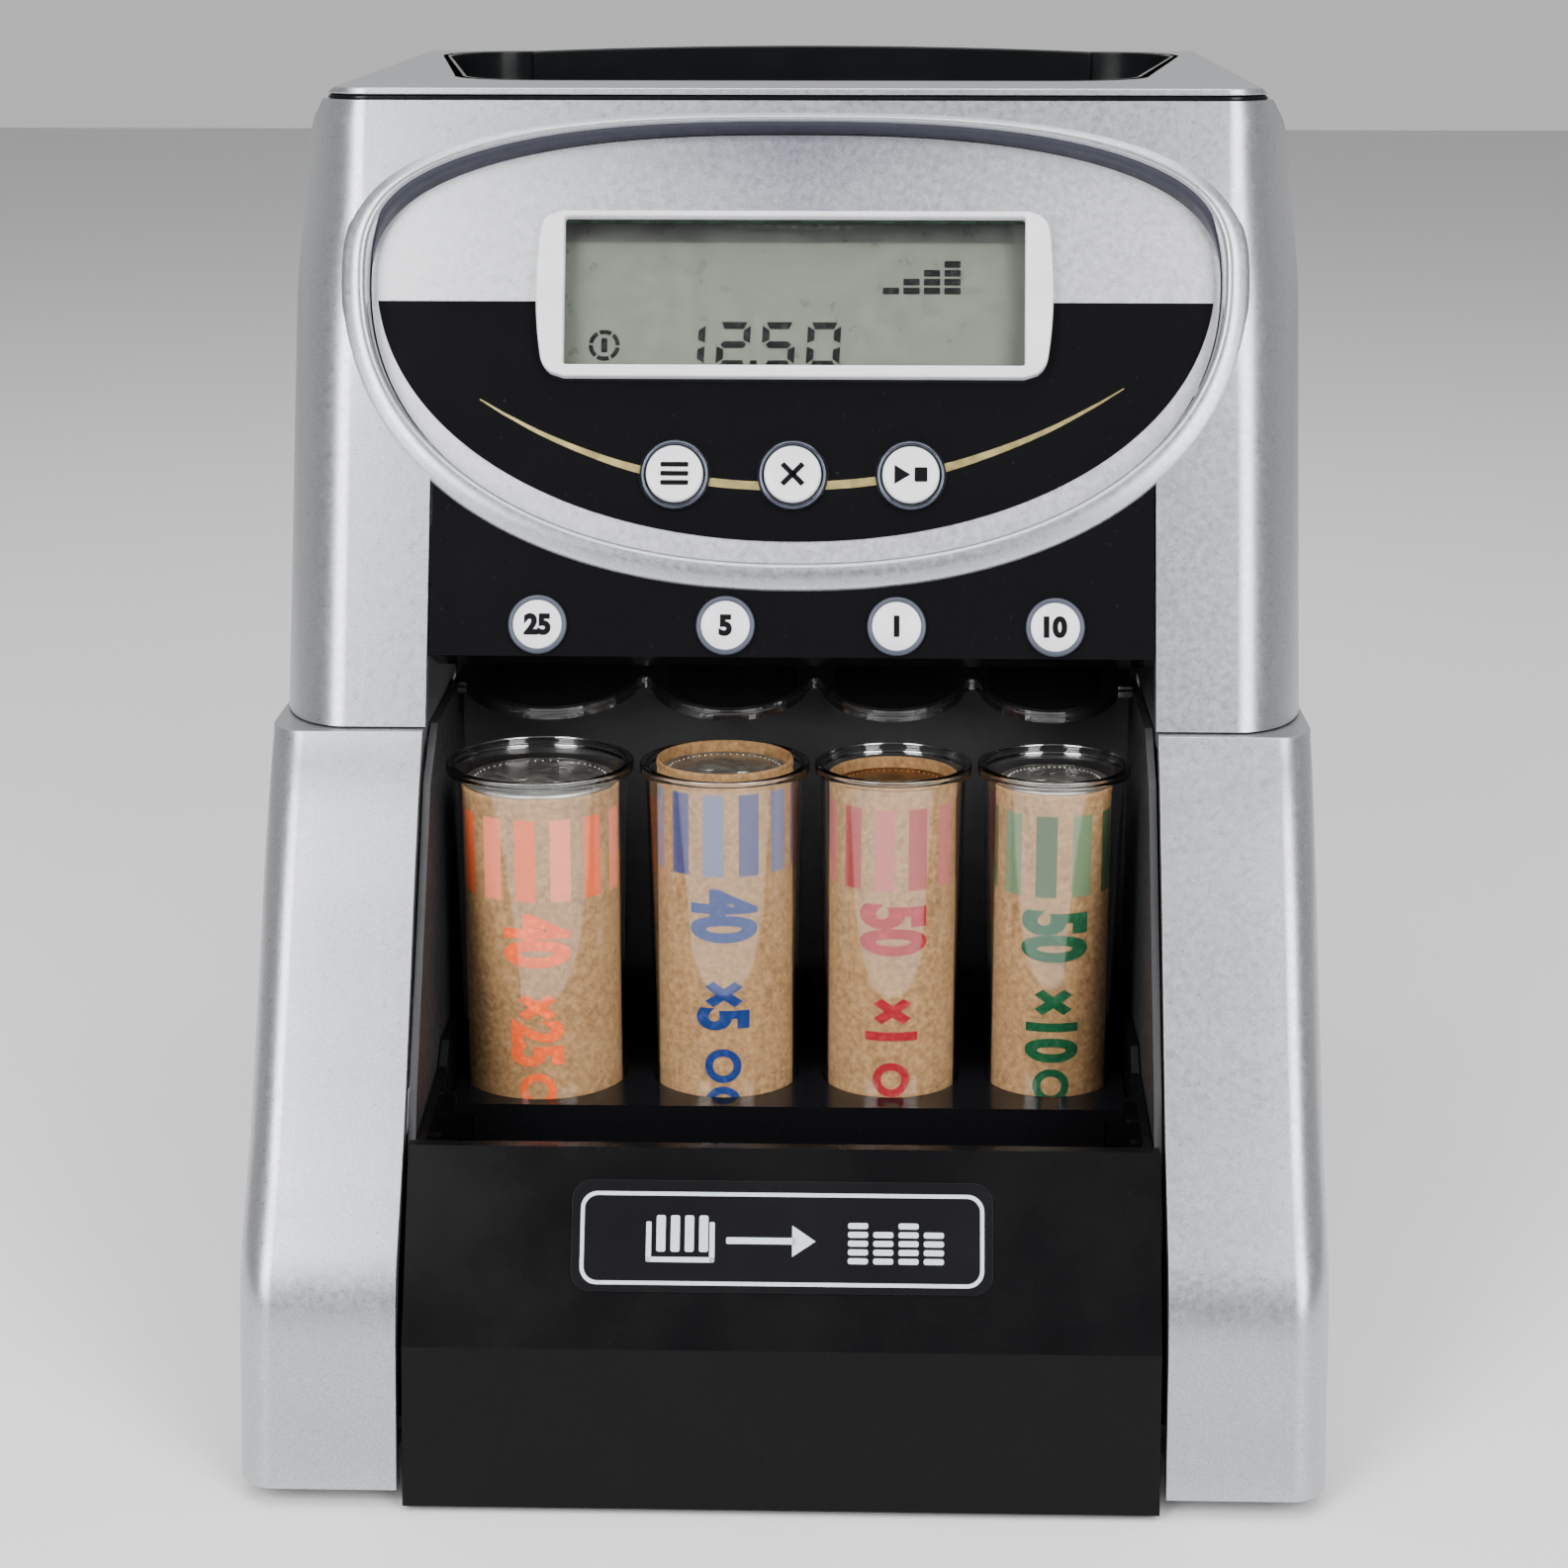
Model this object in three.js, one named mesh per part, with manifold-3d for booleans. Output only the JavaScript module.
// Coin sorting machine: hopper on top, display and buttons on a leaning front,
// and a pull-out tray with four coin tubes. Millimetres, +Z up, front towards -Y.
import * as THREE from "three";
import { mergeVertices } from "three/addons/utils/BufferGeometryUtils.js";
import Module from "manifold-3d";

// ---- Driving dimensions -------------------------------------------------
const DEPTH = 236;
const FRONT_Y = -DEPTH / 2;
const REAR_Y = DEPTH / 2;
const GAP = 0.3;
const WIDE = 100; // half width of cutters that cross the whole object
const COVER_STEP = 4; // the silver shells stop this far short of the rear, and the cover closes them
const COVER_Y = REAR_Y - COVER_STEP;

// Upper shell: a hood whose front leans back.
const SHELL = { half: 83, foot: { y: -62, z: 111 }, top: { y: -26, z: 208.6 }, rearTopY: 112, wall: 2.6 };
const SHELL_EDGE = { across: 12, along: 18 };
const FLARE_TO_REAR = 0.00012;
const FACE_LEAN = Math.atan2(SHELL.top.y - SHELL.foot.y, SHELL.top.z - SHELL.foot.z);

// Lower side panels.
const PANEL = { half: 84.6, wall: 2.6, edge: 9, footZ: 3, topZ: 117 };
const PANEL_CREASE = { y: -110.8, z: 35.4 };
const PANEL_TOE_Y = -117;

// Front bay, which the tray and its tubes stand in.
const BAY = { half: 59, wallThick: 1.2, rearY: -24, floorZ: 5.4 };

// Oval display surround, measured up the leaning face from the shell's foot.
const OVAL = { half: 70.4, waist: 75, up: 24.8, upPower: 2.5, down: 47.8, downPower: 2.2, depth: 4.6 };
const LIP = { half: 74, waist: 74.5, up: 27.5, upPower: 2.8, down: 51.4, downPower: 2.2, proud: 0.9 };
const LCD = { back: -5.4, front: -3.2, edge: 1 };
const PLATE_TOP = -OVAL.depth;
const PLATE_BACK = PLATE_TOP - 2;
const DISPLAY = { half: 38, low: 60.4, high: 85.2 };
const BEZEL = { half: 42.6, low: 58.4, high: 86.2, proud: 1.3 };
const BUTTON = { pitch: 19.4, up: 42.4, radius: 4.7, ringRadius: 5.9, bore: 4.95 };
const LABEL = { up: 16.9, radius: 4.8 };
const CHUTE_PANEL = { half: 58.9, low: 11.8, high: 41.4, thick: 2.2, sunk: 0.5 };
const NOTCH = { half: 59.2, high: 42 };

// Hopper.
const RIM = { top: 210.6, under: 209.5, frontHalf: 58.5, rearHalf: 72, frontY: -2, rearY: 107, corner: 18 };
const BOWL = { top: 212, flangeTop: 209.4, flangeUnder: 208.7, floorZ: 156, wall: 2, coneTop: 188 };
const COIN_EXIT = { x0: 22, x1: 50, height: 4.8 };
const DISC = { radius: 36, thick: 3, x: 0, y: 50, z: 156.4, pockets: 5, shaft: 3 };

// Tray, its tubes and what they hold, quarter to dime from the left.
const TRAY = { half: 58.4, topY: -99.5, topZ: 53.4, creaseY: -113.6, creaseZ: 25.7, footZ: 1 };
const TRAY_BODY = { half: 57.5, rearY: -27, floorZ: 7, wall: 1.3, backZ: 58 };
const DECK = { half: 55.9, top: 49, thick: 2, frontY: -70.2, rearY: -31 };
const SKIRT = { half: 52, thick: 1.4, footZ: 10 };
const TUBE = { y: -53.9, rimZ: 103.5, length: 80, wall: 0.7, rimHeight: 1.6, kneeZ: 58 };
const COINS = [
  { name: "25", x: -41.5, rim: 15.55, paper: 12.9, coin: 12.13, paperTop: 100.2, coinTop: 99.2 },
  { name: "5", x: -10.9, rim: 14.05, paper: 11.2, coin: 10.6, paperTop: 104.2, coinTop: 102.4 },
  { name: "1", x: 16.9, rim: 12.95, paper: 10.5, coin: 9.52, paperTop: 101.8, coinTop: 100 },
  { name: "10", x: 43.4, rim: 12.65, paper: 9.5, coin: 8.95, paperTop: 100.6, coinTop: 99.6 },
];

// Chute plate whose four lips hang over the tubes.
const CHUTE = { lipY: -34.5, lipZ: 112, slope: 0.26, thick: 2, bulge: 9, widest: 14.4, notch: 1.5 };

// Chassis, rear cover, feet and power switch.
const CHASSIS = { half: 78, frontY: -96, rearY: 110, deckZ: 132, deckThick: 2.4 };
const CHEEK_OUTLINE = [
  [-57, 110.4],
  [-67.5, 103],
  [-93, 60],
  [-98, 48],
  [-102, 40],
  [-94, PANEL.footZ + 1],
  [BAY.rearY, PANEL.footZ + 1],
  [BAY.rearY, 110.4],
];
const REAR_COVER = { half: 81.2, thick: 3, kneeZ: 150, corner: 2 };
const VENT = { half: 40, lowZ: 40, pitch: 7, height: 3, count: 6 };
const FOOT = { x: 66, frontY: -84, rearY: 98, radius: 6 };
const ROCKER = { x: 61, pivotY: REAR_Y - 4.4, z: 25, half: 5.6, restDegrees: 8 };
const INLET = { x: 44, z: 25, half: 5, bore: 3, pin: 0.9 };

// Coin rail behind the chutes: its middle height and its fall per millimetre across.
const RAIL = { half: 56, middleZ: 146.5, fall: 0.09, height: 14, thick: 2, ledgeDepth: 6, y: -6 };

const COLOR = {
  silver: 0xb9bcc0,
  black: 0x101012,
  white: 0xe8eaee,
  board: 0x1f5a36,
  steel: 0xa8abb0,
  rubber: 0x18181a,
  silverCoin: 0x9c9b95,
  copperCoin: 0x8a5a38,
};

// ---- Solid helpers ------------------------------------------------------
const wasm = await Module();
wasm.setup();

function solid(geometry, matrix) {
  const bare = geometry.clone();
  bare.deleteAttribute("normal");
  bare.deleteAttribute("uv");
  if (matrix) bare.applyMatrix4(matrix);
  const merged = mergeVertices(bare, 1e-4);
  return new wasm.Manifold(
    new wasm.Mesh({
      numProp: 3,
      vertProperties: merged.attributes.position.array,
      triVerts: new Uint32Array(merged.index.array),
    }),
  );
}

function geometryOf(body) {
  const mesh = body.getMesh();
  const geometry = new THREE.BufferGeometry();
  geometry.setAttribute("position", new THREE.BufferAttribute(mesh.vertProperties, 3));
  geometry.setIndex(new THREE.BufferAttribute(mesh.triVerts, 1));
  return geometry;
}

function box(low, high) {
  const size = high.map((value, i) => value - low[i]);
  const centre = high.map((value, i) => (value + low[i]) / 2);
  return solid(new THREE.BoxGeometry(...size), new THREE.Matrix4().makeTranslation(...centre));
}

// Two boxes mirrored about the middle plane.
function mirroredBoxes(low, high) {
  const right = box(low, high);
  return [right, right.mirror([1, 0, 0])];
}

// A round bar along Z, from z0 to z1.
function rod(x, y, z0, z1, radius, sides = 24, topRadius = radius) {
  const geometry = new THREE.CylinderGeometry(topRadius, radius, z1 - z0, sides);
  geometry.rotateX(Math.PI / 2);
  geometry.translate(x, y, (z0 + z1) / 2);
  return solid(geometry);
}

function shapeOf(points) {
  return new THREE.Shape(points.map(([x, y]) => new THREE.Vector2(x, y)));
}

function extrude(shape, depth, options = {}) {
  return new THREE.ExtrudeGeometry(shape, { depth, bevelEnabled: false, curveSegments: 5, ...options });
}

// Maps a shape drawn in (y, z) and extruded along x.
const ALONG_X = new THREE.Matrix4().makeBasis(
  new THREE.Vector3(0, 1, 0),
  new THREE.Vector3(0, 0, 1),
  new THREE.Vector3(1, 0, 0),
);

function prismX(points, x0, x1) {
  const placed = new THREE.Matrix4().makeTranslation(x0, 0, 0).multiply(ALONG_X);
  return solid(extrude(shapeOf(points), x1 - x0), placed);
}

function prismZ(shape, z0, z1) {
  return solid(extrude(shape, z1 - z0), new THREE.Matrix4().makeTranslation(0, 0, z0));
}

// The leaning face: x across, y up the slope from the shell's foot, z outward.
const FACE = new THREE.Matrix4()
  .makeTranslation(0, SHELL.foot.y, SHELL.foot.z)
  .multiply(new THREE.Matrix4().makeRotationX(Math.PI / 2 - FACE_LEAN));

function onFace(shape, z0, z1) {
  const placed = FACE.clone().multiply(new THREE.Matrix4().makeTranslation(0, 0, z0));
  return solid(extrude(shape, z1 - z0), placed);
}

function roundedRect(x0, y0, x1, y1, radius) {
  const shape = new THREE.Shape();
  shape.moveTo(x0 + radius, y0);
  shape.absarc(x1 - radius, y0 + radius, radius, -Math.PI / 2, 0);
  shape.absarc(x1 - radius, y1 - radius, radius, 0, Math.PI / 2);
  shape.absarc(x0 + radius, y1 - radius, radius, Math.PI / 2, Math.PI);
  shape.absarc(x0 + radius, y0 + radius, radius, Math.PI, 1.5 * Math.PI);
  return shape;
}

function disc(x, y, radius, sides = 24) {
  const points = Array.from({ length: sides }, (_, i) => {
    const turn = (2 * Math.PI * i) / sides;
    return [x + radius * Math.cos(turn), y + radius * Math.sin(turn)];
  });
  return shapeOf(points);
}

// An egg-shaped outline of two superellipse halves that meet at the waist.
function eggOutline(egg, grow = 0, steps = 72) {
  const points = Array.from({ length: steps }, (_, i) => {
    const turn = (2 * Math.PI * i) / steps;
    const c = Math.cos(turn);
    const s = Math.sin(turn);
    const power = s > 0 ? egg.upPower : egg.downPower;
    const height = (s > 0 ? egg.up : egg.down) + grow;
    const x = (egg.half + grow) * Math.sign(c) * Math.abs(c) ** (2 / power);
    return [x, egg.waist + height * Math.sign(s) * Math.abs(s) ** (2 / power)];
  });
  return shapeOf(points);
}

// ---- The scene graph ----------------------------------------------------
const machine = new THREE.Group();

function add(name, body, color, roughness = 0.5, metalness = 0) {
  const material = new THREE.MeshStandardMaterial({ color, roughness, metalness });
  const mesh = new THREE.Mesh(geometryOf(body), material);
  mesh.name = name;
  machine.add(mesh);
}

// ---- Silver casing ------------------------------------------------------
// Side outline of the upper hood in (y, z), carried down past its foot.
function hoodOutline() {
  const slope = Math.tan(FACE_LEAN);
  const below = 30;
  const above = 4.4;
  return [
    [SHELL.foot.y - below * slope, SHELL.foot.z - below],
    [REAR_Y + below, SHELL.foot.z - below],
    [REAR_Y + below, SHELL.top.z + above],
    [SHELL.top.y + above * slope, SHELL.top.z + above],
  ];
}

// A block of a side outline with rounded edges on both flanks, inset all round.
function roundedBlock(outline, half, edge, inset, flare) {
  const geometry = extrude(shapeOf(outline), 2 * (half - inset - edge.across), {
    bevelEnabled: true,
    bevelThickness: edge.across,
    bevelSize: edge.along,
    bevelOffset: -edge.along - inset,
    bevelSegments: 6,
  });
  geometry.translate(0, 0, -(half - inset - edge.across));
  geometry.applyMatrix4(ALONG_X);
  const place = geometry.attributes.position;
  for (let i = 0; i < place.count; i++) {
    place.setX(i, place.getX(i) * (1 + flare * (place.getY(i) - SHELL.top.y)));
  }
  return solid(geometry);
}

function hoodForm(inset) {
  return roundedBlock(hoodOutline(), SHELL.half, SHELL_EDGE, inset, FLARE_TO_REAR);
}

// The hood's skin, open below and behind, with the oval's lip, the notch and the hopper's opening.
function upperShell() {
  const sideOutline = [
    [FRONT_Y, SHELL.foot.z],
    [COVER_Y, SHELL.foot.z],
    [COVER_Y, REAR_COVER.kneeZ],
    [SHELL.rearTopY - COVER_STEP, SHELL.top.z],
    [FRONT_Y, SHELL.top.z],
  ];
  const keep = prismX(sideOutline, -WIDE, WIDE);
  const openRear = box([-79, 60, 100], [79, REAR_Y + 9, SHELL.top.z + 1]);
  const ceiling = prismZ(hopperOutline(3), SHELL.top.z - 12, SHELL.top.z + 9);
  const { half, high } = NOTCH;
  const notch = onFace(shapeOf([[-half, -9], [half, -9], [half, high], [-half, high]]), -30, 9);
  const lipOuter = onFace(eggOutline(LIP), -6, LIP.proud);
  const hole = onFace(eggOutline(OVAL), -30, 9);
  const skin = hoodForm(0).intersect(keep).subtract(hoodForm(SHELL.wall).intersect(keep)).subtract(openRear);
  return skin.subtract(notch).add(lipOuter).subtract(hole).subtract(ceiling);
}

// Plan outline of the hopper's mouth, which widens towards the rear.
function hopperOutline(grow) {
  const radius = RIM.corner;
  const front = RIM.frontY - grow;
  const rear = RIM.rearY + grow;
  const path = new THREE.Shape();
  path.moveTo(-RIM.frontHalf - grow + radius, front);
  path.lineTo(RIM.frontHalf + grow - radius, front);
  path.quadraticCurveTo(RIM.frontHalf + grow, front, RIM.frontHalf + grow + 1.5, front + radius);
  path.lineTo(RIM.rearHalf + grow, rear - radius);
  path.quadraticCurveTo(RIM.rearHalf + grow, rear, RIM.rearHalf + grow - radius, rear);
  path.lineTo(-RIM.rearHalf - grow + radius, rear);
  path.quadraticCurveTo(-RIM.rearHalf - grow, rear, -RIM.rearHalf - grow, rear - radius);
  path.lineTo(-RIM.frontHalf - grow - 1.5, front + radius);
  path.quadraticCurveTo(-RIM.frontHalf - grow, front, -RIM.frontHalf - grow + radius, front);
  return path;
}

// A slice of the hood's outer form between two heights, for the rim and flange.
function hoodSlice(z0, z1) {
  return hoodForm(0).intersect(prismZ(roundedRect(-WIDE, FRONT_Y, WIDE, SHELL.rearTopY, 3), z0, z1));
}

function hopperRim() {
  const opening = prismZ(hopperOutline(0), RIM.under - 1, RIM.top + 1);
  return hoodSlice(RIM.under, RIM.top).subtract(opening);
}

// The bowl's form: steep walls above, a cone down to the disc's well below.
function bowlForm(inset, floorZ, top) {
  const walls = prismZ(hopperOutline(-inset), BOWL.coneTop - inset, top);
  const lower = prismZ(hopperOutline(-inset), floorZ, BOWL.coneTop - inset + 1);
  const wide = 96 - inset;
  const narrow = DISC.radius + 3 - inset;
  const cone = rod(DISC.x, DISC.y, floorZ, BOWL.coneTop - inset + 1, narrow, 40, wide);
  return walls.add(lower.intersect(cone));
}

// Black bowl with a flange under the rim and a rear lip that rises in a low arc.
function hopperBowl() {
  const { floorZ, wall } = BOWL;
  const { x0, x1, height } = COIN_EXIT;
  const outside = bowlForm(0.4, floorZ - wall, RIM.top);
  const inside = bowlForm(0.4 + wall, floorZ, RIM.top + 9);
  const flange = hoodSlice(BOWL.flangeUnder, BOWL.flangeTop);
  const bore = rod(DISC.x, DISC.y, floorZ - 9, floorZ + 9, DISC.shaft + GAP);
  const exit = box([x0, -9, floorZ + 0.6], [x1, 18, floorZ + height]);
  const chinBox = box([x0 - wall, -2, floorZ - wall], [x1 + wall, 22, floorZ + height + wall]);
  const chin = chinBox.subtract(bowlForm(0.6, floorZ - 1, 200));
  const lipHalf = 54;
  const arc = new THREE.Shape();
  arc.moveTo(-lipHalf, RIM.under);
  arc.lineTo(lipHalf, RIM.under);
  arc.quadraticCurveTo(0, 2 * BOWL.top - RIM.under, -lipHalf, RIM.under);
  const upright = new THREE.Matrix4()
    .makeTranslation(0, RIM.rearY - 0.5, 0)
    .multiply(new THREE.Matrix4().makeRotationX(Math.PI / 2));
  const rearLip = solid(extrude(arc, BOWL.wall), upright);
  return outside.add(flange).add(chin).subtract(inside).add(rearLip).subtract(bore).subtract(exit);
}

// One lower side panel, drawn on the right; side is 1 for right and -1 for left.
function panelOutline() {
  return [
    [SHELL.foot.y + 2.4, 130],
    [SHELL.foot.y - 1.5, 111],
    [-69.9, 103.2],
    [-78, 89.4],
    [-94.5, 58.6],
    [-103.5, 45.6],
    [PANEL_CREASE.y, PANEL_CREASE.z],
    [PANEL_TOE_Y, PANEL.footZ],
    [PANEL_TOE_Y - 3, -14],
    [REAR_Y + 30, -14],
    [REAR_Y + 30, 130],
  ];
}

// A hollow panel with a top shelf under the hood and a tongue behind its flank.
function sidePanel(side) {
  const edge = { across: PANEL.edge, along: PANEL.edge };
  const outer = roundedBlock(panelOutline(), PANEL.half, edge, 0, 0);
  const inner = roundedBlock(panelOutline(), PANEL.half, edge, PANEL.wall, 0);
  const inX = BAY.half + 0.4;
  const topZ = SHELL.foot.z - GAP;
  const keep = box([inX, FRONT_Y - 1, PANEL.footZ], [PANEL.half + 1, COVER_Y, topZ]);
  const skin = outer.subtract(inner).intersect(keep);
  const shelf = outer.intersect(box([inX, FRONT_Y, topZ - PANEL.wall], [PANEL.half + 1, COVER_Y, topZ]));
  const tongueBox = box([72, -40, topZ - 5], [90, REAR_Y - 6, PANEL.topZ]);
  const tongue = hoodForm(SHELL.wall + GAP).subtract(hoodForm(SHELL.wall + 2.2)).intersect(tongueBox);
  const body = skin.add(shelf).add(tongue);
  return side < 0 ? body.mirror([1, 0, 0]) : body;
}

add("upper_shell", upperShell(), COLOR.silver, 0.42, 0.35);
add("left_side_panel", sidePanel(-1), COLOR.silver, 0.42, 0.35);
add("right_side_panel", sidePanel(1), COLOR.silver, 0.42, 0.35);
add("hopper_rim", hopperRim(), COLOR.silver, 0.42, 0.35);
add("hopper_bowl", hopperBowl(), COLOR.black, 0.25);


// ---- Display and controls, on the leaning face --------------------------
function buttonX(index) {
  return (index - 1) * BUTTON.pitch;
}

function faceplate() {
  const plate = onFace(eggOutline(OVAL, -0.3), PLATE_BACK, PLATE_TOP);
  const { half, low, high } = DISPLAY;
  const windowShape = roundedRect(-half - 1.6, low - 1, half + 1.6, high + 0.4, 1);
  const cut = (shape) => onFace(shape, PLATE_BACK - 1, PLATE_TOP + 1);
  const bores = [0, 1, 2].map((i) => cut(disc(buttonX(i), BUTTON.up, BUTTON.bore)));
  return bores.reduce((body, bore) => body.subtract(bore), plate.subtract(cut(windowShape)));
}

// Bezel outline: bulged sides and rounded lower corners.
function bezelOutline() {
  const { half, low, high: top } = BEZEL;
  const path = new THREE.Shape();
  path.moveTo(-half + 5.6, low);
  path.lineTo(half - 5.6, low);
  path.bezierCurveTo(half - 1.6, low, half, low + 7, half, low + 14);
  path.bezierCurveTo(half, low + 20, half - 0.8, top, half - 2.6, top);
  path.lineTo(-half + 2.6, top);
  path.bezierCurveTo(-half + 0.8, top, -half, low + 20, -half, low + 14);
  path.bezierCurveTo(-half, low + 7, -half + 1.6, low, -half + 5.6, low);
  return path;
}

function displayBezel() {
  const { half, low, high } = DISPLAY;
  const frame = onFace(bezelOutline(), PLATE_TOP + 0.1, PLATE_TOP + BEZEL.proud);
  const opening = onFace(roundedRect(-half, low, half, high, 0.6), PLATE_TOP - 9, PLATE_TOP + 9);
  const sleeveShape = roundedRect(-half - 1.2, low - 0.6, half + 1.2, high + 0.1, 0.8);
  const sleeve = onFace(sleeveShape, PLATE_TOP - 3, PLATE_TOP + 1);
  return frame.add(sleeve).subtract(opening);
}

function displayWindow() {
  const { half, low, high } = DISPLAY;
  const pane = roundedRect(-half + 0.2, low + 0.2, half - 0.2, high - 0.2, 0.5);
  return onFace(pane, PLATE_TOP - 0.4, PLATE_TOP + 0.6);
}

function lcdPanel() {
  const { half, low, high } = DISPLAY;
  const glass = roundedRect(-half - LCD.edge, low - 0.6, half + LCD.edge, high + 0.2, 0.5);
  return onFace(glass, PLATE_TOP + LCD.back, PLATE_TOP + LCD.front);
}

function displayBoard() {
  const board = onFace(roundedRect(-50, 36, 50, 90, 2), PLATE_TOP - 9.4, PLATE_TOP - 7.8);
  const lift = onFace(roundedRect(-34, 62, 34, 84, 1), PLATE_TOP - 8, PLATE_TOP - 5.6);
  const keys = [0, 1, 2].map((i) =>
    onFace(disc(buttonX(i), BUTTON.up, 2.4, 16), PLATE_TOP - 8, PLATE_TOP - 5.5),
  );
  return keys.reduce((sum, key) => sum.add(key), board.add(lift));
}

function pushButton(index) {
  const cap = onFace(disc(buttonX(index), BUTTON.up, BUTTON.radius, 28), PLATE_TOP - 2, PLATE_TOP + 1.9);
  const skirtRadius = BUTTON.radius - 0.6;
  const skirt = onFace(disc(buttonX(index), BUTTON.up, skirtRadius, 28), PLATE_TOP - 4.2, PLATE_TOP - 1);
  return cap.add(skirt);
}

function buttonRing(index) {
  const round = (radius) => disc(buttonX(index), BUTTON.up, radius, 28);
  const ring = onFace(round(BUTTON.ringRadius), PLATE_TOP + 0.1, PLATE_TOP + 1.2);
  return ring.subtract(onFace(round(BUTTON.bore), PLATE_TOP - 1, PLATE_TOP + 3));
}

add("oval_faceplate", faceplate(), 0x8e9196, 0.35, 0.3);
add("display_bezel", displayBezel(), COLOR.white, 0.4);
add("display_window", displayWindow(), 0xc8d0c8, 0.08);
add("lcd_panel", lcdPanel(), 0x8d9284, 0.3);
add("display_board", displayBoard(), COLOR.board, 0.6);
["mode", "clear", "run"].forEach((name, i) => {
  add(`${name}_button`, pushButton(i), COLOR.white, 0.35);
  add(`${name}_button_ring`, buttonRing(i), 0x4a4d58, 0.2, 0.8);
});

// ---- Black front panel, coin labels and the lipped chute plate -----------
function chutePanel() {
  const { half, low, high, thick, sunk } = CHUTE_PANEL;
  const sheet = onFace(roundedRect(-half, low, half, high, 0.4), -sunk - thick, -sunk);
  const shelf = onFace(roundedRect(-half, low, half, low + 2, 0.4), -12, -sunk - 0.1);
  return sheet.add(shelf).subtract(onFace(eggOutline(LIP, GAP), -40, 9));
}

function coinLabel(x) {
  const base = onFace(disc(x, LABEL.up, LABEL.radius, 28), -0.4, 0.3);
  return base.add(onFace(disc(x, LABEL.up, LABEL.radius - 0.8, 28), 0, 0.5));
}

function lobeHalf(rim) {
  return Math.min(rim - 1, CHUTE.widest);
}

// Plan of the chute plate: four lobes to the front, with notches between them.
function lobedOutline() {
  const side = BAY.half - BAY.wallThick - 0.4;
  const path = new THREE.Shape();
  path.moveTo(-side, BAY.rearY - 1);
  path.lineTo(-side, CHUTE.lipY);
  COINS.forEach(({ x, rim }) => {
    const half = lobeHalf(rim);
    const radius = (half * half + CHUTE.bulge * CHUTE.bulge) / (2 * CHUTE.bulge);
    const centre = CHUTE.lipY - CHUTE.bulge + radius;
    const swing = Math.asin(half / radius);
    for (let i = 0; i <= 12; i++) {
      const turn = swing * (i / 6 - 1);
      path.lineTo(x + radius * Math.sin(turn), centre - radius * Math.cos(turn));
    }
  });
  path.lineTo(side, CHUTE.lipY);
  path.lineTo(side, BAY.rearY - 1);
  return path;
}

// A plan shape turned into a plate that falls towards the front.
function fallingPlate(shape, under, over) {
  const shear = new THREE.Matrix4().set(1, 0, 0, 0, 0, 1, 0, 0, 0, CHUTE.slope, 1, 0, 0, 0, 0, 1);
  const lift = CHUTE.lipZ - CHUTE.slope * CHUTE.lipY;
  const placed = new THREE.Matrix4()
    .makeTranslation(0, 0, lift)
    .multiply(shear)
    .multiply(new THREE.Matrix4().makeTranslation(0, 0, under));
  return solid(extrude(shape, over - under), placed);
}

function chutePlate() {
  const plate = fallingPlate(lobedOutline(), -CHUTE.thick, 0);
  const notches = COINS.slice(1).map(({ x, rim }, i) => {
    const left = COINS[i];
    const middle = (left.x + lobeHalf(left.rim) + x - lobeHalf(rim)) / 2;
    return fallingPlate(disc(middle, CHUTE.lipY - 0.6, CHUTE.notch, 16), -9, 9);
  });
  return notches.reduce((body, notch) => body.subtract(notch), plate);
}

add("chute_panel", chutePanel(), COLOR.black, 0.12);
COINS.forEach(({ name, x }) => add(`label_${name}`, coinLabel(x), COLOR.white, 0.4));
add("chute_plate", chutePlate(), COLOR.black, 0.2);

// ---- Base chassis, rear cover and feet -----------------------------------
function baseChassis() {
  const { half, frontY, rearY, deckZ, deckThick } = CHASSIS;
  const wall = BAY.wallThick;
  const floor = box([-half, frontY, PANEL.footZ], [half, rearY, BAY.floorZ]);
  const cheek = prismX(CHEEK_OUTLINE, BAY.half - wall, BAY.half);
  const cheeks = [cheek, cheek.mirror([1, 0, 0])];
  const back = box([-BAY.half, BAY.rearY, PANEL.footZ + 1], [BAY.half, BAY.rearY + wall, deckZ]);
  const posts = mirroredBoxes([BAY.half - 6, rearY - 12, PANEL.footZ + 1], [BAY.half, rearY - 6, deckZ]);
  const deck = box([-BAY.half, BAY.rearY, deckZ - deckThick], [BAY.half, rearY - 6, deckZ]);
  const motorHole = rod(DISC.x, DISC.y, deckZ - 9, deckZ + 9, 21);
  const underDeck = deckZ - deckThick;
  const coinSlot = box([-BAY.half + 3, BAY.rearY - 9, 115.4], [BAY.half - 3, BAY.rearY + 9, underDeck]);
  return [...cheeks, back, ...posts, deck]
    .reduce((sum, piece) => sum.add(piece), floor)
    .subtract(motorHole)
    .subtract(coinSlot);
}

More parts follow.
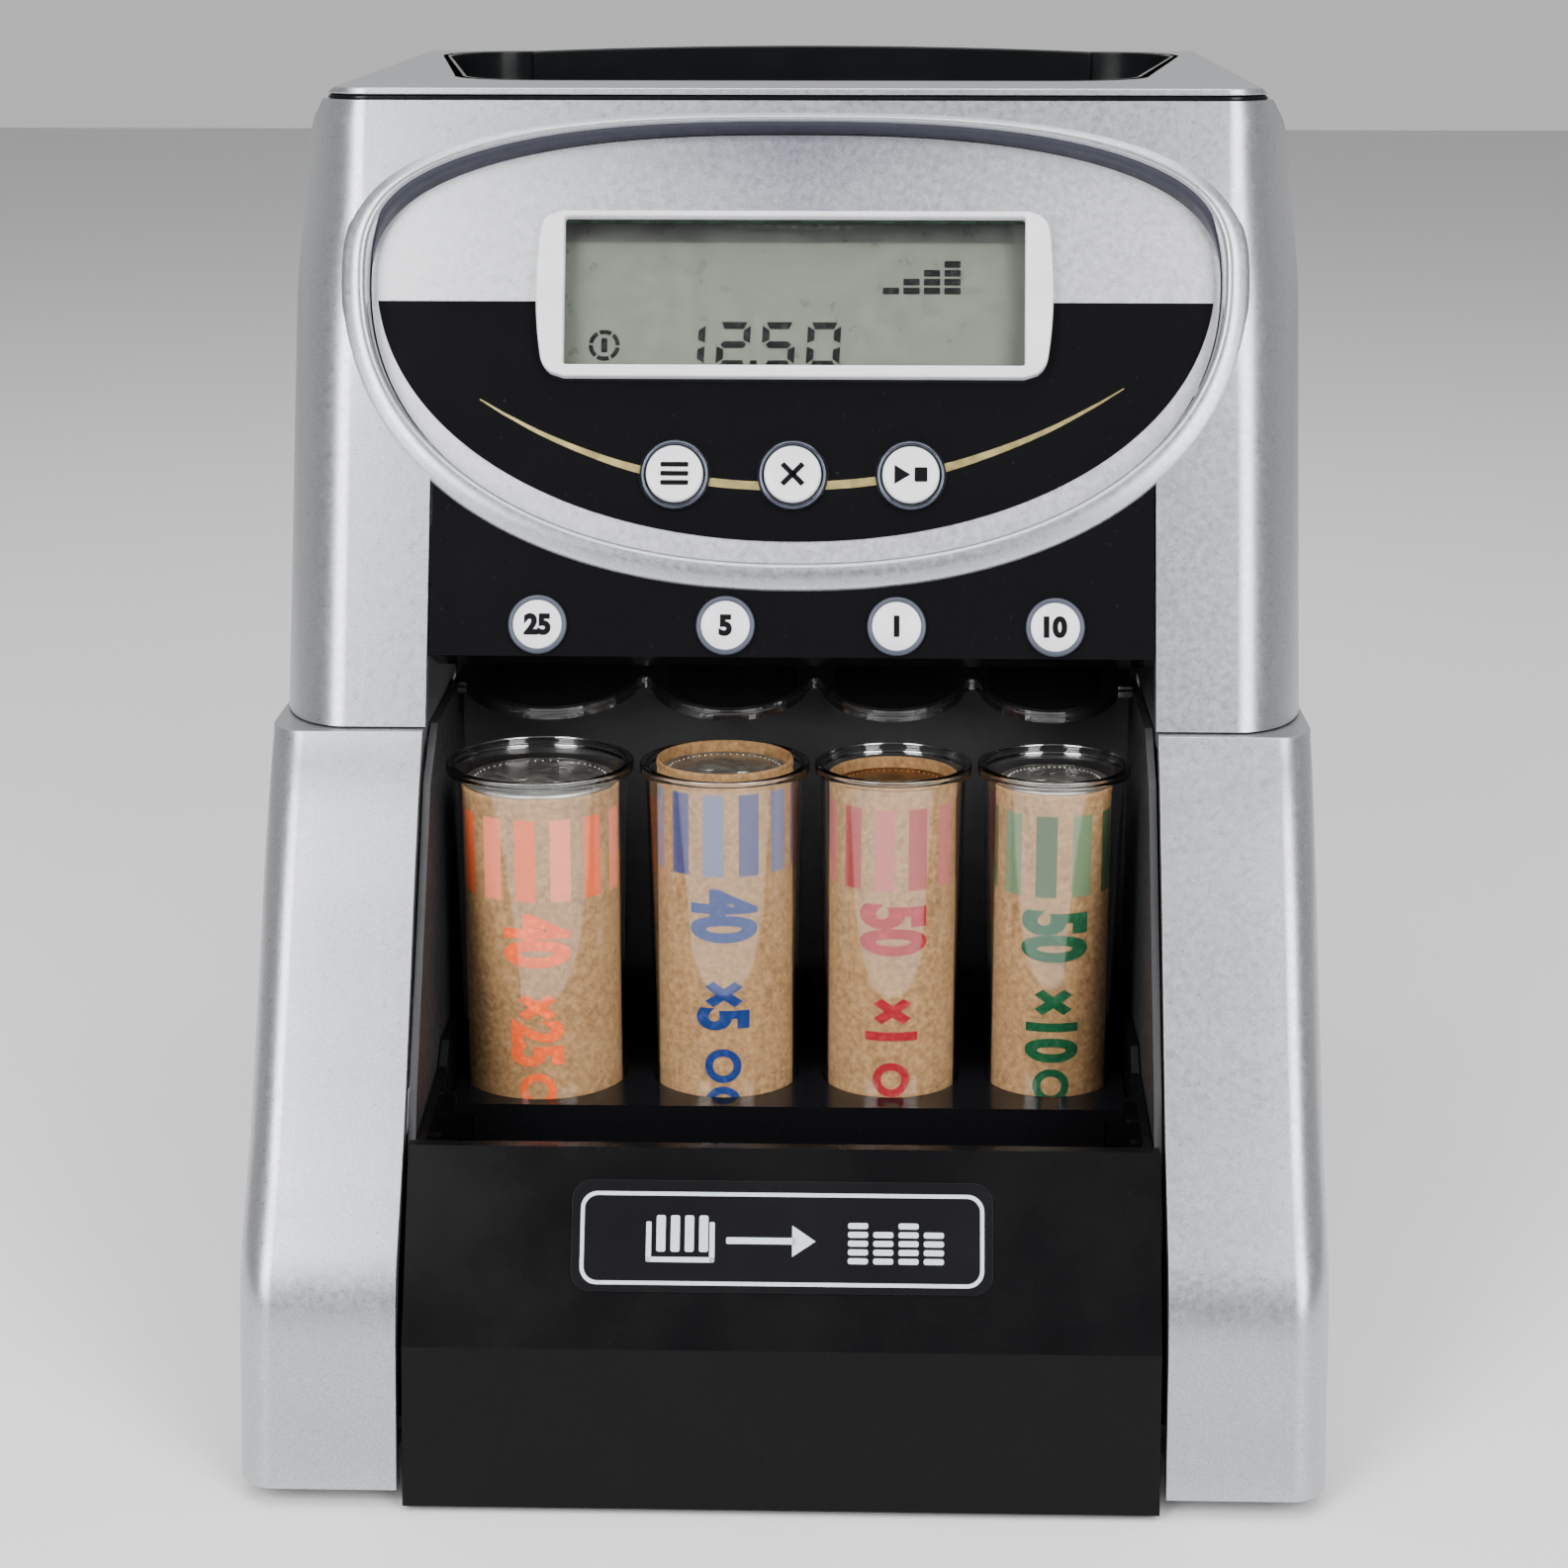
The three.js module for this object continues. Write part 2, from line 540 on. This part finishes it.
// Rear cover with vents and openings for the power switch and the inlet.
function rearCover() {
  const { half, thick, kneeZ, corner } = REAR_COVER;
  const top = SHELL.top.z - GAP;
  const outline = [
    [REAR_Y, PANEL.footZ],
    [REAR_Y, kneeZ],
    [SHELL.rearTopY + 0.2, top],
    [SHELL.rearTopY - thick, top],
    [REAR_Y - thick, kneeZ - 2],
    [REAR_Y - thick, PANEL.footZ],
  ];
  const plate = prismX(outline, -half, half);
  const round = prismZ(roundedRect(-half, 60, half, REAR_Y, corner), 0, 220);
  const inlet = throughCover(INLET.x, INLET.z, INLET.half + 1, INLET.half + 1);
  const rocker = throughCover(ROCKER.x, ROCKER.z, ROCKER.half + 1.4, ROCKER.half + 1.8);
  const vents = Array.from({ length: VENT.count }, (_, i) => {
    const z = VENT.lowZ + VENT.pitch * i + VENT.height / 2;
    return throughCover(0, z, VENT.half, VENT.height / 2);
  });
  return [inlet, rocker, ...vents].reduce((body, cut) => body.subtract(cut), plate.intersect(round));
}

function throughCover(x, z, halfX, halfZ) {
  return box([x - halfX, REAR_Y - 28, z - halfZ], [x + halfX, REAR_Y + 12, z + halfZ]);
}

add("base_chassis", baseChassis(), COLOR.black, 0.5);
add("rear_cover", rearCover(), COLOR.black, 0.5);

[[-1, "left"], [1, "right"]].forEach(([side, word]) => {
  add(`foot_front_${word}`, foot(side * FOOT.x, FOOT.frontY), COLOR.rubber, 0.9);
  add(`foot_rear_${word}`, foot(side * FOOT.x, FOOT.rearY), COLOR.rubber, 0.9);
});

function foot(x, y) {
  return rod(x, y, 0, PANEL.footZ - 0.05, FOOT.radius, 28, FOOT.radius + 0.8);
}

// ---- Power switch, inlet and boards ---------------------------------------
// The rocker rests with its top pressed in, and turns about its pivot.
function rockerSwitch() {
  const side = [[-2.5, -5.4], [3.6, -5.6], [3, 0], [3.6, 5.6], [-2.5, 5.4]];
  const cap = prismX(side, -ROCKER.half, ROCKER.half);
  return cap.rotate([ROCKER.restDegrees, 0, 0]).translate([ROCKER.x, ROCKER.pivotY, ROCKER.z]);
}

function rockerFrame() {
  const outer = box([53, REAR_Y - 12, 16.6], [69, REAR_Y - 3.2, 33.4]);
  return outer.subtract(box([55, REAR_Y - 9, 18.4], [67, REAR_Y, 31.6]));
}

function dcInlet() {
  const { x, z, half, bore, pin: pinRadius } = INLET;
  const body = box([x - half, REAR_Y - 14, z - half], [x + half, REAR_Y - 0.4, z + half]);
  const barrel = new THREE.CylinderGeometry(bore, bore, 9, 24);
  barrel.translate(x, REAR_Y - 4, z);
  const pin = new THREE.CylinderGeometry(pinRadius, pinRadius, 10, 12);
  pin.translate(x, REAR_Y - 6, z);
  return body.subtract(solid(barrel)).add(solid(pin));
}

function mainBoard() {
  const board = box([-50, REAR_Y - 22, 92], [50, REAR_Y - 20.4, 128]);
  const parts = [[-40, 98, 16], [-16, 100, 12], [8, 98, 18], [34, 102, 10]].map(([x, z, wide]) =>
    box([x, REAR_Y - 24.6, z], [x + wide, REAR_Y - 21, z + 12]),
  );
  return parts.reduce((sum, piece) => sum.add(piece), board);
}

add("power_rocker", rockerSwitch(), 0x16161a, 0.35);
add("power_switch_frame", rockerFrame(), 0x16161a, 0.5);
add("dc_inlet", dcInlet(), 0x141416, 0.5);
add("main_board", mainBoard(), COLOR.board, 0.6);

// ---- Coin feed: disc, shaft, gearmotor, rail and coin chutes ---------------
function feedDisc() {
  const { x, y, z, radius, thick, pockets, shaft } = DISC;
  const plate = rod(x, y, z, z + thick, radius, 48);
  const hub = rod(x, y, z + thick - 0.5, z + 9, 9, 24, 5);
  const bites = Array.from({ length: pockets }, (_, i) => {
    const turn = (2 * Math.PI * i) / pockets;
    return rod(x + 22.4 * Math.cos(turn), y + 22.4 * Math.sin(turn), z - 1, z + 20, 12.6, 28);
  });
  const bore = rod(x, y, z - 9, z + 6, shaft + 0.05, 24);
  return bites.reduce((body, bite) => body.subtract(bite), plate.add(hub)).subtract(bore);
}

function driveShaft() {
  return rod(DISC.x, DISC.y, 120, DISC.z + 5.4, DISC.shaft - 0.05);
}

function gearbox() {
  const { x, y, shaft } = DISC;
  const housing = rod(x, y, 104, 127.6, 20);
  const flange = rod(x, y, CHASSIS.deckZ - 7.6, CHASSIS.deckZ - CHASSIS.deckThick - 0.2, 27);
  const boss = rod(x, y, CHASSIS.deckZ - 5, CHASSIS.deckZ + 4, 8);
  return housing.add(flange).add(boss).subtract(rod(x, y, 119.4, 150, shaft + GAP, 24));
}

function driveMotor() {
  const { x, y } = DISC;
  const can = rod(x, y, 62, 103.8, 17.8);
  const cap = rod(x, y, 58, 62.4, 7);
  return can.add(cap);
}

// A wall and ledge that fall from right to left past four windows, one for each coin.
function sortingRail() {
  const { half, middleZ, fall, height, thick, ledgeDepth, y } = RAIL;
  const fallingBar = (low, high) => [
    [-half, middleZ - fall * half + low],
    [half, middleZ + fall * half + low],
    [half, middleZ + fall * half + high],
    [-half, middleZ - fall * half + high],
  ];
  const upright = new THREE.Matrix4()
    .makeTranslation(0, y, 0)
    .multiply(new THREE.Matrix4().makeRotationX(Math.PI / 2));
  const wall = solid(extrude(shapeOf(fallingBar(-height / 2, height / 2)), thick), upright);
  const ledge = solid(extrude(shapeOf(fallingBar(-height / 2, thick - height / 2)), ledgeDepth), upright);
  const windows = COINS.map(({ x, coin }) => {
    const bottom = middleZ + fall * x - height / 2 + thick + 0.6;
    return box([x - coin / 2 - 2, y - 14, bottom], [x + coin / 2 + 2, y + 2, bottom + 4 + coin / 2]);
  });
  return windows.reduce((body, cut) => body.subtract(cut), wall.add(ledge));
}

function coinChutes() {
  const side = BAY.half - 3.4;
  const block = prismX([[-23.6, 115.8], [-14.4, 119.5], [-14.4, 127.4], [-23.6, 127.4]], -side, side);
  return COINS.reduce((body, { x, coin }) => {
    const half = coin + 0.7;
    return body.subtract(prismX([[-30, 114.8], [-8, 123], [-8, 126], [-30, 126]], x - half, x + half));
  }, block);
}

function sensorBoard() {
  const board = box([-54, -18, 137], [54, -16.4, 152]);
  return COINS.reduce((sum, { x }) => sum.add(box([x - 3, -17, 141], [x + 3, -14, 146])), board);
}

add("feed_disc", feedDisc(), COLOR.steel, 0.35, 0.7);
add("drive_shaft", driveShaft(), COLOR.steel, 0.3, 0.9);
add("gearbox", gearbox(), 0x8d8f94, 0.4, 0.7);
add("drive_motor", driveMotor(), 0x9a9ca0, 0.35, 0.8);
add("sorting_rail", sortingRail(), 0xc9ccd0, 0.4);
add("coin_chutes", coinChutes(), COLOR.black, 0.4);
add("sensor_board", sensorBoard(), COLOR.board, 0.6);

// ---- Tray, deck and label --------------------------------------------------
function coinTray() {
  const { half, topY, topZ, creaseY, creaseZ, footZ } = TRAY;
  const { half: inner, rearY, floorZ, wall, backZ } = TRAY_BODY;
  const frontOutline = [
    [topY, topZ],
    [creaseY, creaseZ],
    [FRONT_Y, footZ],
    [FRONT_Y + 2.4, footZ],
    [creaseY + 2.2, creaseZ],
    [topY + 2, topZ],
  ];
  const front = prismX(frontOutline, -half, half);
  const floor = box([-inner, -114, floorZ], [inner, rearY, floorZ + wall]);
  const back = box([-inner, rearY - wall, floorZ], [inner, rearY, backZ]);
  const sideOutline = [
    [-115.4, floorZ],
    [rearY, floorZ],
    [rearY, backZ],
    [-66, backZ + 0.6],
    [-70, 55.4],
    [-99, topZ - 0.6],
    [-112.4, creaseZ],
  ];
  const side = prismX(sideOutline, inner - wall, inner);
  const ledgeZ = DECK.top - DECK.thick - 0.1;
  const ledges = [[DECK.frontY, -64.5], [-42.5, -29]].flatMap(([y0, y1]) =>
    mirroredBoxes([inner - 5, y0, ledgeZ - 4], [inner - 0.2, y1, ledgeZ]),
  );
  const posts = [0, 1, 2].flatMap((i) =>
    mirroredBoxes([inner - 3, -74 - 9 * i, floorZ], [inner - 0.2, -72.4 - 9 * i, topZ - 1.5]),
  );
  const pieces = [floor, back, side, side.mirror([1, 0, 0]), ...ledges, ...posts];
  return pieces.reduce((sum, piece) => sum.add(piece), front);
}

// The tube's outer radius: a taper under the rim, then straight below the knee.
function tubeProfile({ rim, paper }) {
  return { upper: rim - 1, lower: paper + 0.15 + TUBE.wall };
}

// Deck with a skirt down from its front edge, and a hole for each tube.
function trayDeck() {
  const { half, frontY, rearY, top, thick } = DECK;
  const plate = box([-half, frontY, top - thick], [half, rearY, top]);
  const skirt = box([-SKIRT.half, frontY, SKIRT.footZ], [SKIRT.half, frontY + SKIRT.thick, top]);
  return COINS.reduce((body, coin) => {
    return body.subtract(rod(coin.x, TUBE.y, top - 9, top + 9, tubeProfile(coin).lower + 0.25, 36));
  }, plate.add(skirt));
}

function revolve(points, x, y, segments = 36) {
  const geometry = new THREE.LatheGeometry(points.map(([r, z]) => new THREE.Vector2(r, z)), segments);
  geometry.rotateX(Math.PI / 2);
  geometry.translate(x, y, 0);
  return solid(geometry);
}

function coinTube(coin) {
  const { upper, lower } = tubeProfile(coin);
  const top = TUBE.rimZ;
  const foot = top - TUBE.length;
  const outline = [
    [0, foot],
    [lower, foot],
    [lower, TUBE.kneeZ],
    [upper, top - TUBE.rimHeight],
    [coin.rim, top - TUBE.rimHeight],
    [coin.rim, top],
    [upper - TUBE.wall, top],
    [lower - TUBE.wall, TUBE.kneeZ],
    [lower - TUBE.wall, foot + 1.2],
    [0, foot + 1.2],
  ];
  return revolve(outline, coin.x, TUBE.y, 40);
}

function wrapper({ x, paper: radius, paperTop }) {
  const foot = TUBE.rimZ - TUBE.length + 1.5;
  const inner = radius - 0.55;
  const outline = [
    [inner, foot],
    [radius, foot],
    [radius, paperTop - 0.5],
    [radius - 0.3, paperTop],
    [inner, foot],
  ];
  return revolve(outline, x, TUBE.y);
}

function coinStack({ x, paper: radius, coinTop }) {
  const foot = TUBE.rimZ - TUBE.length + 1.6;
  const edge = radius - 0.85;
  const outline = [
    [0, foot],
    [edge, foot],
    [edge, coinTop - 0.2],
    [edge - 0.3, coinTop],
    [0, coinTop],
  ];
  return revolve(outline, x, TUBE.y);
}

function trayLabel() {
  const lean = Math.atan2(TRAY.topY - TRAY.creaseY, TRAY.topZ - TRAY.creaseZ);
  const placed = new THREE.Matrix4()
    .makeTranslation(0, TRAY.creaseY, TRAY.creaseZ)
    .multiply(new THREE.Matrix4().makeRotationX(Math.PI / 2 - lean))
    .multiply(new THREE.Matrix4().makeTranslation(0, 0, 0.05));
  return solid(extrude(roundedRect(-32.6, 8.8, 32.6, 26, 3), 0.3), placed);
}

add("coin_tray", coinTray(), COLOR.black, 0.25);
add("tray_deck", trayDeck(), COLOR.black, 0.25);
add("tray_label", trayLabel(), COLOR.black, 0.15);
COINS.forEach((coin) => {
  add(`tube_${coin.name}`, coinTube(coin), 0xdfe4e6, 0.05);
  add(`wrapper_${coin.name}`, wrapper(coin), 0xb98b58, 0.8);
  const color = coin.name === "1" ? COLOR.copperCoin : COLOR.silverCoin;
  add(`coins_${coin.name}`, coinStack(coin), color, 0.35, 0.8);
});

export default machine;
